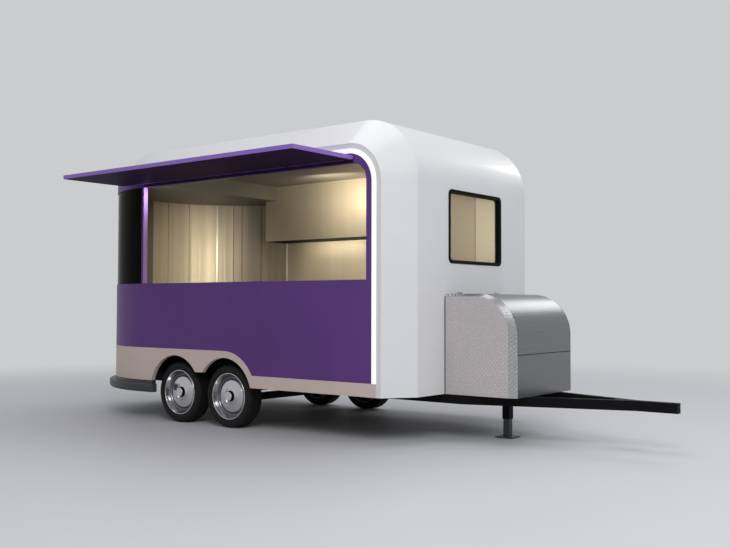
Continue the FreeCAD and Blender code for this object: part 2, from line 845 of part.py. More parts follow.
# Bumper round the rear
outer_r = half_width + bumper_proud
inner_r = half_width - bumper_in
bumper_z0 = up(bumper_bottom)
bumper_z1 = up(bumper_top)
section = (
    (inner_r, bumper_z1 - bumper_wall),
    (outer_r - bumper_wall, bumper_z1 - bumper_wall),
    (outer_r - bumper_wall, bumper_z0 + bumper_corner),
    (outer_r - bumper_corner, bumper_z0),
    (outer_r, bumper_z0 + bumper_corner),
    (outer_r, bumper_z1 - bumper_corner / 2),
    (outer_r - bumper_corner / 2, bumper_z1),
    (half_width, bumper_z1),
    (half_width - 8, floor_z),
    (inner_r, floor_z),
)
bumper_face = Part.Face(polygon([Vector(rear_axis_x, -r, z) for r, z in section]))
bumper = bumper_face.revolve(Vector(rear_axis_x, 0, 0), Vector(0, 0, 1), -180)
straight_run = straight_length - bumper_front
for name, side in sides:
    end = bumper_face.extrude(Vector(straight_run, 0, 0))
    bumper = bumper.fuse(mirrored(end, side))
save("bumper", bumper)


# Tool box on the nose
def tool_profile(x_front, z_top, r, y, inset):
    return profile_wire(
        front_x + x_front - inset, up(z_top) - inset, max(r - inset, 10), y,
        front_x + inset, up(box_bottom) + inset,
    )


def tool_form(inset):
    side_args = (box_side_x, box_side_top, box_side_r)
    front_args = (box_front_x, box_top, box_r)
    sections = (
        (side_args, -box_half_width + inset),
        (front_args, -box_front_half + inset),
        (front_args, box_front_half - inset),
        (side_args, box_half_width - inset),
    )
    wires = []
    for (x_front, z_top, r), y in sections:
        wires.append(tool_profile(x_front, z_top, r, y, inset))
    return Part.makeLoft(wires, True, True)


tool_outer = tool_form(0.0)
tool_shell = tool_outer.cut(tool_form(box_wall))
lid_zone = block(
    front_x + lid_flange, front_x + box_front_x + 10, -box_front_half, box_front_half,
    up(box_seam), up(box_top) + 10,
)
lid_half = box_front_half - lid_gap
lid_block = block(
    front_x + lid_flange + lid_gap, front_x + box_front_x + 10, -lid_half, lid_half,
    up(box_seam) + lid_gap, up(box_top) + 10,
)
tool_box = tool_shell.cut(lid_zone)
tool_lid = tool_shell.common(lid_block)
hinge_turn = FreeCAD.Rotation(Vector(-1, 0, 0), Vector(0, 0, 1), Vector(0, 1, 0), "XYZ")
for y in lid_hinge_places:
    place = FreeCAD.Placement(Vector(front_x + lid_flange, y, up(box_top)), hinge_turn)
    fixed, moving, bore = hinge_pair(lid_hinge_leaf, lid_gap)
    for piece in (fixed, moving, bore):
        piece.Placement = place
    tool_box = tool_box.fuse(fixed)
    tool_lid = tool_lid.fuse(moving).cut(bore)
save("tool_box", tool_box)
save("tool_box_lid", tool_lid)
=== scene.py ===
import bpy
import bmesh
import math
from mathutils import Matrix, Vector


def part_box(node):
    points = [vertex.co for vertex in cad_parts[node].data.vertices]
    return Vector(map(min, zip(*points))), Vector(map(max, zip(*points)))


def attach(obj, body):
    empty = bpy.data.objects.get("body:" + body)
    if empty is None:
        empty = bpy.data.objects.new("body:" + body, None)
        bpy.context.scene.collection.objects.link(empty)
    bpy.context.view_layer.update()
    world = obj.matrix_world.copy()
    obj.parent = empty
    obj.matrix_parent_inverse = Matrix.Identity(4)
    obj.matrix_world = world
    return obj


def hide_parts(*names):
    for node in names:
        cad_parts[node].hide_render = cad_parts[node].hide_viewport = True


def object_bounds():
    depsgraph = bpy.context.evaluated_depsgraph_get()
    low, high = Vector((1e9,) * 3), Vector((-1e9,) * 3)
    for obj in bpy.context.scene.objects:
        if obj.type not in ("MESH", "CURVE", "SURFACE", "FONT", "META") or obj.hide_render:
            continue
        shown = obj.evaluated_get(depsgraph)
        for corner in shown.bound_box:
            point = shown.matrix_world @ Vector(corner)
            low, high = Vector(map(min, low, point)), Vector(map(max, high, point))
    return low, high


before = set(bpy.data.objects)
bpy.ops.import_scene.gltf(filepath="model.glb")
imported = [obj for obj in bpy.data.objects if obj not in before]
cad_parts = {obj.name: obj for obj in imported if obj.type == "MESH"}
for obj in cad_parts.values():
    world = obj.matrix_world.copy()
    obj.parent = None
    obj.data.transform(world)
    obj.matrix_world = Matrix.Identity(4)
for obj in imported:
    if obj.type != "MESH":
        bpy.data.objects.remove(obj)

cadLow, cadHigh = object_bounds()
print("frame loaded")

# shared places, all read from the frame
groundZ = cadLow[2]
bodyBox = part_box("roof_shell")
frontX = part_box("front_wall")[1][0]
halfWidth = bodyBox[1][1]
rearAxisX = bodyBox[0][0] + halfWidth  # centre of the round rear
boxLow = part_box("tool_box")[0]
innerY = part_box("wall_lining")[1][1] - 0.006  # inside face of the far wall
sides = (("near", -1), ("far", 1))  # the serving side is the near one


def up(height):
    return groundZ + height


def back(distance):
    return frontX - distance


# materials
def startMaterial(name):
    mat = bpy.data.materials.new(name)
    mat.use_nodes = True
    nodes = mat.node_tree.nodes
    shader = next(n for n in nodes if n.type == "BSDF_PRINCIPLED")
    return mat, nodes, mat.node_tree.links, shader


def objectCoords(nodes, links, stretch=(1, 1, 1)):
    coords = nodes.new("ShaderNodeTexCoord")
    mapping = nodes.new("ShaderNodeMapping")
    mapping.inputs["Scale"].default_value = stretch
    links.new(coords.outputs["Object"], mapping.inputs["Vector"])
    return mapping.outputs["Vector"]


def noise(nodes, links, vector, scale, detail=4.0):
    tex = nodes.new("ShaderNodeTexNoise")
    tex.inputs["Scale"].default_value = scale
    tex.inputs["Detail"].default_value = detail
    tex.inputs["Roughness"].default_value = 0.55
    links.new(vector, tex.inputs["Vector"])
    return tex.outputs["Fac"]


def ramp(nodes, links, value, low, high, fromLow=0.3, fromHigh=0.7):
    node = nodes.new("ShaderNodeMapRange")
    node.inputs["From Min"].default_value = fromLow
    node.inputs["From Max"].default_value = fromHigh
    node.inputs["To Min"].default_value = low
    node.inputs["To Max"].default_value = high
    links.new(value, node.inputs["Value"])
    return node.outputs["Result"]


def mixColour(nodes, links, factor, colourA, colourB):
    # a colour is given as three values, or as the socket that makes it
    node = nodes.new("ShaderNodeMix")
    node.data_type = "RGBA"
    for socket, colour in (("A", colourA), ("B", colourB)):
        target = [s for s in node.inputs if s.name == socket and s.type == "RGBA"][0]
        if isinstance(colour, (tuple, list)):
            target.default_value = (*colour, 1)
        else:
            links.new(colour, target)
    links.new(factor, node.inputs["Factor"])
    return [s for s in node.outputs if s.type == "RGBA"][0]


def addBump(nodes, links, shader, height, distance):
    bump = nodes.new("ShaderNodeBump")
    bump.inputs["Distance"].default_value = distance
    bump.inputs["Strength"].default_value = 1.0
    links.new(height, bump.inputs["Height"])
    links.new(bump.outputs["Normal"], shader.inputs["Normal"])


def finish(name, look):
    # one paint, plastic or metal: two close tones, uneven gloss and a fine bump
    mat, nodes, links, shader = startMaterial(name)
    vector = objectCoords(nodes, links, look.get("stretch", (1, 1, 1)))
    broad = noise(nodes, links, vector, look.get("broad", 1.5))
    fine = noise(nodes, links, vector, look.get("grain", 120.0))
    tone = ramp(nodes, links, broad, 0.0, 1.0)
    colour = mixColour(nodes, links, tone, look["colour"], look["shade"])
    links.new(colour, shader.inputs["Base Color"])
    gloss = ramp(nodes, links, fine, look["rough"] - look["spread"], look["rough"] + look["spread"])
    links.new(gloss, shader.inputs["Roughness"])
    addBump(nodes, links, shader, fine, 0.0002)
    shader.inputs["Metallic"].default_value = look.get("metal", 0.0)
    shader.inputs["Coat Weight"].default_value = look.get("coat", 0.0)
    shader.inputs["Coat Roughness"].default_value = 0.08
    shader.inputs["Specular IOR Level"].default_value = look.get("specular", 0.5)
    # paintedGlow: emission on a part that is no lamp, painted light that makes it look brightly lit
    if "paintedGlow" in look:
        shader.inputs["Emission Color"].default_value = (*look["colour"], 1)
        shader.inputs["Emission Strength"].default_value = look["paintedGlow"]
    return mat


paints = {
    "whitePaint": dict(
        colour=(0.74, 0.74, 0.745), shade=(0.70, 0.70, 0.71), rough=0.34, spread=0.04, coat=0.3,
    ),
    # painted shade: the body white made a touch greyer for the side bands
    "bandWhiteShaded": dict(
        colour=(0.73, 0.72, 0.725), shade=(0.70, 0.69, 0.70), rough=0.38, spread=0.05, coat=0.1,
    ),
    # painted light: the lip trim is near white and glows a little, to look brightly lit
    "paintedGlowLip": dict(
        colour=(0.95, 0.94, 0.92), shade=(0.9, 0.9, 0.88), rough=0.3, spread=0.03, paintedGlow=0.4,
    ),
    "purplePaint": dict(
        colour=(0.118, 0.047, 0.222), shade=(0.100, 0.039, 0.186), rough=0.42, spread=0.05,
        specular=0.2,
    ),
    "hatchPaint": dict(
        colour=(0.26, 0.135, 0.54), shade=(0.23, 0.12, 0.48), rough=0.40, spread=0.05, coat=0.1,
    ),
    # painted shade: near black purple for the hatch's underside and for the rim strip in its shadow
    "hatchLining": dict(
        colour=(0.028, 0.009, 0.046), shade=(0.023, 0.007, 0.038), rough=0.6, spread=0.06,
        specular=0.06,
    ),
    # painted light: the panel's purple made a lighter lilac, as if lit, for the rear jamb and the
    # pane trim
    "jambPaint": dict(
        colour=(0.42, 0.26, 0.58), shade=(0.38, 0.23, 0.53), rough=0.30, spread=0.04, coat=0.3,
    ),
    "beigePaint": dict(
        colour=(0.64, 0.53, 0.475), shade=(0.59, 0.485, 0.43), rough=0.45, spread=0.05,
        specular=0.35,
    ),
    "bumperPlastic": dict(
        colour=(0.040, 0.044, 0.046), shade=(0.034, 0.037, 0.040), rough=0.42, spread=0.08,
        grain=400.0, specular=0.35,
    ),
    "lampRed": dict(
        colour=(0.42, 0.012, 0.012), shade=(0.32, 0.008, 0.008), rough=0.12, spread=0.03, coat=0.8,
    ),
    "liningMetal": dict(
        colour=(0.70, 0.62, 0.48), shade=(0.66, 0.585, 0.45), rough=0.45, spread=0.05, metal=0.25,
        stretch=(1, 1, 0.02), broad=9.0, grain=60.0,
    ),
    "rearLiningMetal": dict(
        colour=(0.66, 0.585, 0.45), shade=(0.44, 0.395, 0.32), rough=0.42, spread=0.06, metal=0.25,
        stretch=(1, 1, 0.01), broad=7.0, grain=90.0,
    ),
    # painted shade: the near part of the round rear lining, darker
    "rearLiningShade": dict(
        colour=(0.24, 0.225, 0.19), shade=(0.17, 0.165, 0.15), rough=0.35, spread=0.06, metal=0.3,
        stretch=(1, 1, 0.01), broad=9.0, grain=90.0,
    ),
    "doorLining": dict(colour=(0.47, 0.38, 0.25), shade=(0.43, 0.35, 0.23), rough=0.5, spread=0.05),
    "trimBright": dict(
        colour=(0.86, 0.80, 0.68), shade=(0.78, 0.73, 0.62), rough=0.3, spread=0.05, metal=0.2,
    ),
    # painted light: the upright wall strip glows a little, though it is no lamp
    "stripBright": dict(
        colour=(0.86, 0.80, 0.68), shade=(0.78, 0.73, 0.62), rough=0.3, spread=0.05, paintedGlow=0.22,
    ),
    "ceilingBoard": dict(
        colour=(0.30, 0.275, 0.245), shade=(0.27, 0.25, 0.22), rough=0.5, spread=0.05,
    ),
    "worktopSteel": dict(
        colour=(0.55, 0.54, 0.52), shade=(0.48, 0.47, 0.45), rough=0.3, spread=0.06, metal=0.9,
        stretch=(0.05, 1, 1), broad=30.0, grain=200.0,
    ),
    "floorBoard": dict(
        colour=(0.16, 0.155, 0.15), shade=(0.12, 0.115, 0.11), rough=0.6, spread=0.1,
    ),
    "boxBlack": dict(
        colour=(0.008, 0.008, 0.008), shade=(0.011, 0.010, 0.010), rough=0.8, spread=0.1,
        specular=0.15,
    ),
    "frameBlack": dict(
        colour=(0.005, 0.005, 0.006), shade=(0.008, 0.008, 0.008), rough=0.5, spread=0.08,
        specular=0.06,
    ),
    "zincSteel": dict(
        colour=(0.06, 0.062, 0.065), shade=(0.045, 0.047, 0.05), rough=0.45, spread=0.1, metal=0.4,
    ),
    "handleSteel": dict(
        colour=(0.6, 0.6, 0.6), shade=(0.5, 0.5, 0.5), rough=0.25, spread=0.05, metal=1.0,
    ),
    "tyreRubber": dict(
        colour=(0.009, 0.009, 0.008), shade=(0.012, 0.012, 0.011), rough=0.72, spread=0.08,
        grain=300.0, specular=0.22,
    ),
    "polishedWheel": dict(
        colour=(0.72, 0.70, 0.71), shade=(0.66, 0.64, 0.65), rough=0.17, spread=0.03, metal=0.9,
    ),
    "smokedGlass": dict(
        colour=(0.003, 0.003, 0.002), shade=(0.006, 0.005, 0.002), rough=0.12, spread=0.02,
        specular=0.012, broad=4.0,
    ),
    # black rubber for seals, beads, seams and the wheel caps' walls; also painted shade under the
    # housing
    "rubberSeal": dict(
        colour=(0.003, 0.003, 0.003), shade=(0.005, 0.005, 0.004), rough=0.6, spread=0.06,
        specular=0.08,
    ),
    "sidePlate": dict(
        colour=(0.60, 0.555, 0.545), shade=(0.52, 0.50, 0.505), rough=0.30, spread=0.05, metal=0.45,
        broad=2.2,
    ),
    "stripPlate": dict(
        colour=(0.46, 0.46, 0.47), shade=(0.40, 0.40, 0.41), rough=0.26, spread=0.06, metal=0.9,
    ),
    "platePlain": dict(colour=(0.72, 0.72, 0.70), shade=(0.68, 0.68, 0.66), rough=0.4, spread=0.04),
}
mats = {name: finish(name, look) for name, look in paints.items()}

brushedLook = dict(
    colour=(0.235, 0.24, 0.245), shade=(0.20, 0.205, 0.21), rough=0.33, metal=0.9,
    hingeShadedWhite=(0.42, 0.42, 0.43), hingesAbove=up(1.161), lineScale=160.0,
)


def alongAxis(nodes, links, axis):
    # the piece's own place along one axis of the frame
    coords = nodes.new("ShaderNodeTexCoord")
    split = nodes.new("ShaderNodeSeparateXYZ")
    links.new(coords.outputs["Object"], split.inputs[0])
    return split.outputs[axis]


def brushedMetal(name, look):
    # brushed sheet, with hinges above the lid painted grey as the white wall looks in shade: painted
    # shade
    mat, nodes, links, shader = startMaterial(name)
    lines = noise(nodes, links, objectCoords(nodes, links, (1, 0.02, 1)), look["lineScale"], 3.0)
    tone = ramp(nodes, links, lines, 0.0, 1.0)
    brushed = mixColour(nodes, links, tone, look["colour"], look["shade"])
    edge = look["hingesAbove"]
    onHinge = ramp(nodes, links, alongAxis(nodes, links, "Z"), 0.0, 1.0, edge, edge + 0.0005)
    colour = mixColour(nodes, links, onHinge, brushed, look["hingeShadedWhite"])
    links.new(colour, shader.inputs["Base Color"])
    links.new(ramp(nodes, links, onHinge, look["metal"], 0.0, 0.0, 1.0), shader.inputs["Metallic"])
    shader.inputs["Roughness"].default_value = look["rough"]
    addBump(nodes, links, shader, lines, 0.0001)
    return mat


mats["boxMetal"] = brushedMetal("boxMetal", brushedLook)

# painted shade: the polished dish is darker towards the bottom of its trough and in its hub hole
tyreLow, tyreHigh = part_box("tyre_front_near")
dishLook = dict(
    colour=(0.60, 0.585, 0.595), troughPaintedShade=(0.13, 0.115, 0.15), rough=0.16, spread=0.03,
    metal=0.92, middle=abs(tyreLow[1] + tyreHigh[1]) / 2, troughDepth=0.014, clearDepth=0.034,
)


def dishMetal(name, look):
    mat, nodes, links, shader = startMaterial(name)
    outwards = nodes.new("ShaderNodeMath")
    outwards.operation = "ABSOLUTE"
    links.new(alongAxis(nodes, links, "Y"), outwards.inputs[0])
    bottom, clear = look["middle"] + look["troughDepth"], look["middle"] + look["clearDepth"]
    depth = ramp(nodes, links, outwards.outputs[0], 0.0, 1.0, bottom, clear)
    colour = mixColour(nodes, links, depth, look["troughPaintedShade"], look["colour"])
    links.new(colour, shader.inputs["Base Color"])
    fine = noise(nodes, links, objectCoords(nodes, links), 60.0)
    gloss = ramp(nodes, links, fine, look["rough"] - look["spread"], look["rough"] + look["spread"])
    links.new(gloss, shader.inputs["Roughness"])
    shader.inputs["Metallic"].default_value = look["metal"]
    return mat


mats["dishMetal"] = dishMetal("dishMetal", dishLook)

paneLook = dict(colour=(0.86, 0.86, 0.82), clear=0.9, bend=1.1, smooth=0.02, smeared=0.05)


def paneGlass(name, look):
    mat, nodes, links, shader = startMaterial(name)
    shader.inputs["Base Color"].default_value = (*look["colour"], 1)
    shader.inputs["Transmission Weight"].default_value = look["clear"]
    shader.inputs["IOR"].default_value = look["bend"]
    fine = noise(nodes, links, objectCoords(nodes, links), 8.0)
    links.new(ramp(nodes, links, fine, look["smooth"], look["smeared"]), shader.inputs["Roughness"])
    return mat


mats["paneGlass"] = paneGlass("paneGlass", paneLook)
print("materials made")

nodeFinish = {
    "front_wall": "whitePaint", "roof_shell": "whitePaint", "side_bands": "bandWhiteShaded",
    "lip_trim": "paintedGlowLip", "serving_panel": "purplePaint", "door_panel": "purplePaint",
    "rear_wall": "purplePaint", "side_skirts": "beigePaint", "rear_skirt": "beigePaint",
    "tail_lamps": "lampRed", "corner_glass": "smokedGlass", "floor_panel": "floorBoard",
    "wheel_boxes": "boxBlack", "wall_lining": "liningMetal", "ceiling_panel": "ceilingBoard",
    "rear_soffit": "ceilingBoard", "overhead_housing": "liningMetal",
    "serving_counter": "worktopSteel", "back_counter": "worktopSteel",
    "window_frame": "rubberSeal", "window_pane": "paneGlass",
    "hatch_panel": "hatchPaint", "hatch_hinge": "purplePaint", "entry_door": "purplePaint",
    "door_hinges": "handleSteel", "door_handle": "handleSteel", "frame_rails": "frameBlack",
    "nose_rails": "frameBlack", "drawbar": "frameBlack", "cross_members": "frameBlack",
    "jack_tube": "frameBlack", "jack_leg": "zincSteel", "axle_beams": "frameBlack",
    "axle_arms": "frameBlack", "bumper": "bumperPlastic", "tool_box": "boxMetal",
    "tool_box_lid": "boxMetal",
}
wheelTags = [row + "_" + side for row in ("front", "rear") for side in ("near", "far")]
for tag in wheelTags:
    nodeFinish["tyre_" + tag] = "tyreRubber"
    nodeFinish["wheel_" + tag] = "polishedWheel"
for nodeName, finishName in nodeFinish.items():
    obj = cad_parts[nodeName]
    obj.data.materials.clear()
    obj.data.materials.append(mats[finishName])
print("nodes painted")


# mesh helpers
def addPiece(name, verts, faces, finishName, body, slotName, hides=(), sharp=35):
    mesh = bpy.data.meshes.new(name)
    mesh.from_pydata(verts, [], faces)
    build = bmesh.new()
    build.from_mesh(mesh)
    bmesh.ops.remove_doubles(build, verts=build.verts, dist=1e-6)
    bmesh.ops.recalc_face_normals(build, faces=build.faces)
    build.to_mesh(mesh)
    build.free()
    mesh.polygons.foreach_set("use_smooth", [True] * len(mesh.polygons))
    mesh.set_sharp_from_angle(angle=math.radians(sharp))
    mesh.materials.append(mats[finishName])
    piece = bpy.data.objects.new(name, mesh)
    bpy.context.collection.objects.link(piece)
    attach(piece, body)
    if hides:
        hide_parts(*hides)
    return piece


def rounded(points, closed=True, steps=5):
    # outline of (a, b, radius) corners, each corner turned into a small arc
    out = []
    count = len(points)
    for i, (a, b, radius) in enumerate(points):
        here = Vector((a, b))
        if radius <= 0 or (not closed and i in (0, count - 1)):
            out.append((a, b))
            continue
        before = (Vector(points[i - 1][:2]) - here).normalized()
        after = (Vector(points[(i + 1) % count][:2]) - here).normalized()
        half = before.angle(after) / 2
        run = radius / math.tan(half)
        middle = here + (before + after).normalized() * radius / math.sin(half)
        start, end = here + before * run, here + after * run
        for k in range(steps + 1):
            ray = (start - middle).lerp(end - middle, k / steps).normalized() * radius
            out.append(tuple(middle + ray))
    return out


def turnedMesh(profile, centre, outwards, angles):
    # closed outline of (radius, distance outwards) turned about an axle along Y
    verts = []
    for angle in angles:
        across, upwards = math.cos(angle), math.sin(angle)
        for r, w in profile:
            verts.append((centre[0] + r * across, centre[1] + outwards * w, centre[2] + r * upwards))
    faces = []
    count, rings = len(profile), len(angles)
    for i in range(rings):
        j = (i + 1) % rings
        for k in range(count):
            m = (k + 1) % count
            faces.append((i * count + k, i * count + m, j * count + m, j * count + k))
    return verts, faces


def boxVerts(low, high):
    ends = list(zip(low, high))
    verts = [(x, y, z) for x in ends[0] for y in ends[1] for z in ends[2]]
    faces = [(0, 1, 3, 2), (4, 6, 7, 5), (0, 4, 5, 1), (2, 3, 7, 6), (0, 2, 6, 4), (1, 5, 7, 3)]
    return verts, faces


def bevelledBox(name, low, high, finishName, body, slotName, width=0.002, segments=2):
    piece = addPiece(name, *boxVerts(low, high), finishName, body, slotName)
    build = bmesh.new()
    build.from_mesh(piece.data)
    bmesh.ops.bevel(build, geom=build.edges[:], offset=width, segments=segments, affect="EDGES",
                    profile=0.5)
    build.to_mesh(piece.data)
    build.free()
    piece.data.polygons.foreach_set("use_smooth", [True] * len(piece.data.polygons))
    piece.data.set_sharp_from_angle(angle=math.radians(40))


def ribbonFaces(stations):
    # four points at each station, joined to the next station and closed at both ends
    faces = []
    for i in range(stations - 1):
        m, n = i * 4, (i + 1) * 4
        faces += [(m + p, m + q, n + q, n + p) for p, q in ((0, 1), (1, 3), (3, 2), (2, 0))]
    last = (stations - 1) * 4
    return faces + [(0, 1, 3, 2), (last, last + 2, last + 3, last + 1)]


def extruded(outline, start, end):
    # flat outline of (x, z) pushed along Y
    verts = [(x, y, z) for y in (start, end) for x, z in outline]
    count = len(outline)
    faces = [tuple(range(count)), tuple(range(2 * count - 1, count - 1, -1))]
    for i in range(count):
        j = (i + 1) % count
        faces.append((i, j, count + j, count + i))
    return verts, faces


def swept(path, normal, section):
    # section of (sideways, outwards) carried round a flat closed path
    normal = Vector(normal)
    count, wide = len(path), len(section)
    verts, faces = [], []
    for i, point in enumerate(path):
        before, after = Vector(path[i - 1]), Vector(path[(i + 1) % count])
        side = (after - before).normalized().cross(normal)
        verts += [tuple(Vector(point) + side * a + normal * b) for a, b in section]
    for i in range(count):
        j = (i + 1) % count
        for k in range(wide):
            m = (k + 1) % wide
            faces.append((i * wide + k, i * wide + m, j * wide + m, j * wide + k))
    return verts, faces


def turnedUp(profile, centre, axis, segments=40):
    # outline of (radius, height) turned about an axis through a point, closed at both ends
    axis = Vector(axis).normalized()
    first = axis.orthogonal().normalized()
    second = axis.cross(first)
    verts, faces = [], []
    for i in range(segments):
        angle = 2 * math.pi * i / segments
        ray = first * math.cos(angle) + second * math.sin(angle)
        verts += [tuple(Vector(centre) + ray * r + axis * h) for r, h in profile]
    count = len(profile)
    for i in range(segments):
        j = (i + 1) % segments
        for k in range(count - 1):
            faces.append((i * count + k, i * count + k + 1, j * count + k + 1, j * count + k))
    faces.append(tuple(i * count for i in range(segments)))
    faces.append(tuple(i * count + count - 1 for i in range(segments)))
    return verts, faces


# wheels: polished dish with a flat disc and a cap with a black wall, in a hub hole darkened by
# painted shade
wheel = dict(
    rimRadius=0.2025, rimOut=0.0740, boreRadius=0.047, boreOut=0.0500, boreFloor=0.0130,
    plateauRadius=0.078, plateauOut=0.0385, spindleRadius=0.01705, hubRadius=0.0580,
    hubBack=0.0580, backFace=0.0040, segments=144,
)
wheelOutline = [  # radius, distance outwards, corner round, in metres
    (wheel["rimRadius"], -wheel["rimOut"], 0.001), (wheel["rimRadius"], wheel["rimOut"], 0.0035),
    (0.1945, wheel["rimOut"], 0.0035), (0.1760, 0.0130, 0.016), (0.1500, 0.0120, 0.006),
    (0.1360, 0.0345, 0.006), (wheel["plateauRadius"], wheel["plateauOut"], 0.006),
    (wheel["boreRadius"] + 0.004, wheel["boreOut"], 0.003),
    (wheel["boreRadius"], wheel["boreOut"], 0.002),
    (wheel["boreRadius"], wheel["boreFloor"], 0.001), (0.0400, wheel["boreFloor"], 0.001),
    (0.0001, wheel["boreFloor"], 0), (0.0001, wheel["backFace"], 0),
    (wheel["spindleRadius"], wheel["backFace"], 0),
    (wheel["spindleRadius"], -wheel["hubBack"], 0.001),
    (wheel["hubRadius"], -wheel["hubBack"], 0.003), (wheel["hubRadius"], wheel["backFace"], 0.003),
    (0.1740, wheel["backFace"], 0.006), (0.1940, -wheel["rimOut"], 0.001),
]
capWallOutline = [
    (0.0001, 0.0100), (0.0415, 0.0100), (0.0420, 0.0110), (0.0420, 0.0730), (0.0410, 0.0735),
    (0.0001, 0.0735),
]
capFaceOutline = [
    (0.0001, 0.0725, 0), (0.0400, 0.0725, 0.0005), (0.0400, 0.0775, 0.003),
    (0.0300, 0.0779, 0.001), (0.0290, 0.0770, 0.0005), (0.0001, 0.0770, 0),
]


def wheelPlace(tag):
    # middle of the wheel, and the way outwards along its axle
    low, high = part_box("tyre_" + tag)
    centre = [(a + b) / 2 for a, b in zip(low, high)]
    return centre, -1 if centre[1] < 0 else 1


def makeWheel(tag):
    centre, outwards = wheelPlace(tag)
    body = tag + "_wheel"
    angles = [2 * math.pi * i / wheel["segments"] for i in range(wheel["segments"])]
    dish = turnedMesh(rounded(wheelOutline), centre, outwards, angles)
    addPiece("wheelDish_" + tag, *dish, "dishMetal", body, "wheel", hides=("wheel_" + tag,),
             sharp=30)
    angles = angles[::3]
    wall = turnedMesh(capWallOutline, centre, outwards, angles)
    addPiece("capWall_" + tag, *wall, "rubberSeal", body, "wheel")
    face = turnedMesh(rounded(capFaceOutline), centre, outwards, angles)
    addPiece("capFace_" + tag, *face, "polishedWheel", body, "wheel")


# tyres: ribs and cross cuts in the tread, fine rings on the side walls
tyre = dict(
    radius=0.273, beadRadius=0.2035, beadHalf=0.050, treadHalf=0.060, grooveDepth=0.007,
    grooves=(-0.036, -0.012, 0.012, 0.036), grooveHalf=0.0028, pitches=66, cutDepth=0.005,
)
pitchParts = ((0.0, False), (0.42, False), (0.84, False), (0.87, True), (0.97, True))  # place, cut


def tyreProfile():
    # radius, distance outwards, and whether the cross cuts reach this point
    half, top = tyre["treadHalf"], tyre["radius"]
    shoulder = rounded([
        (tyre["beadRadius"], 0.0700, 0), (0.2090, 0.0745, 0.002), (0.2115, 0.0760, 0.001),
        (0.2300, 0.0815, 0.004), (0.2320, 0.0824, 0.0005), (0.2345, 0.0824, 0.0005),
        (0.2365, 0.0812, 0.001), (0.2560, 0.0790, 0.010), (0.2650, 0.0700, 0.006),
        (top, half, 0.003), (top, 0, 0),
    ], closed=False, steps=3)
    side = [(r, w, False) for r, w in shoulder[:-1]]
    tread = []
    for middle in sorted(tyre["grooves"], reverse=True):
        wide, deep = tyre["grooveHalf"], tyre["grooveDepth"]
        tread += [(top, middle + wide + 0.008, True), (top, middle + wide, True),
                  (top - deep, middle + wide * 0.7, False), (top - deep, middle - wide * 0.7, False),
                  (top, middle - wide, True)]
    far = [(r, -w, flag) for r, w, flag in reversed(side)]
    bead = [(tyre["beadRadius"], w, False) for w in (-tyre["beadHalf"], tyre["beadHalf"])]
    return side + tread + far + bead


def makeTyre(tag):
    centre, outwards = wheelPlace(tag)
    profile = tyreProfile()
    angles, cuts = [], []
    for pitch in range(tyre["pitches"]):
        for part, cut in pitchParts:
            angles.append(2 * math.pi * (pitch + part) / tyre["pitches"])
            cuts.append(cut)
    verts, faces = turnedMesh([(r, w) for r, w, flag in profile], centre, outwards, angles)
    count = len(profile)
    for i, cut in enumerate(cuts):
        if not cut:
            continue
        for k, (r, w, flag) in enumerate(profile):
            shoulderCut = r > 0.262 and 0.045 < abs(w) < 0.072
            if flag or shoulderCut:
                shallow = r - tyre["cutDepth"]
                verts[i * count + k] = (
                    centre[0] + shallow * math.cos(angles[i]), centre[1] + outwards * w,
                    centre[2] + shallow * math.sin(angles[i]),
                )
    addPiece("tyreTread_" + tag, verts, faces, "tyreRubber", tag + "_wheel", "tyre",
             hides=("tyre_" + tag,), sharp=28)


for tag in wheelTags:
    makeWheel(tag)
    makeTyre(tag)
print("wheels and tyres made")

# hatch: a dark sheet under the plate, painted shade of its underside
hatch = dict(shadeInset=0.004, shadeSheet=0.0015, hingeClear=0.040)


def makeHatch():
    low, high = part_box("hatch_panel")
    inset, bottom = hatch["shadeInset"], low[2]
    bevelledBox(
        "hatchLining", (low[0] + inset, low[1] + inset, bottom - hatch["shadeSheet"]),
        (high[0] - inset, high[1] - hatch["hingeClear"], bottom + 0.001), "hatchLining", "hatch",
        "purple_hatch", 0.0006, 1,
    )


makeHatch()
print("hatch made")

# serving opening: its rear upright in the lighter lilac, painted light; a purple trim along the top
# and its corner
opening = dict(
    front=back(0.314), rear=back(2.980), low=up(1.266), high=up(2.174), cornerRound=0.130,
    sheet=0.0015, outerY=-1.0860, innerY=-1.0385,
)


def makeOpening():
    front, rear, low, high = (opening[side] for side in ("front", "rear", "low", "high"))
    sheet = opening["sheet"]
    bevelledBox(
        "rearJamb", (rear, opening["outerY"], low + 0.002),
        (rear + sheet, opening["innerY"], high - 0.002), "jambPaint", "trailer", "purple_panel",
        0.0004, 1,
    )
    corners = [(front, low, 0), (rear, low, 0), (rear, high, 0),
               (front, high, opening["cornerRound"])]
    edge = [(x, z) for x, z in rounded(corners, steps=16) if z > low + 0.01]
    middleX = (front + rear) / 2
    verts = []
    for x, z in edge:
        toMiddle = -1 if x > middleX else 1
        insideX = x if z > high - 0.001 else x + toMiddle * sheet
        for placeX, placeZ in ((x, z), (insideX, z - sheet)):
            verts += [(placeX, y, placeZ) for y in (opening["outerY"], opening["innerY"])]
    addPiece("openingTrim", verts, ribbonFaces(len(edge)), "purplePaint", "trailer", "purple_panel")


makeOpening()

# dark strip on the rim behind the hatch: painted shadow of the hatch
rimShadowStrip = dict(front=back(0.440), rear=back(2.975), low=up(2.1765), high=up(2.219), sheet=0.0015)
bevelledBox(
    "rimShadowStrip", (rimShadowStrip["rear"], -halfWidth - rimShadowStrip["sheet"], rimShadowStrip["low"]),
    (rimShadowStrip["front"], -halfWidth + 0.0005, rimShadowStrip["high"]), "hatchLining", "trailer",
    "purple_panel", 0.0006, 1,
)
print("opening made")

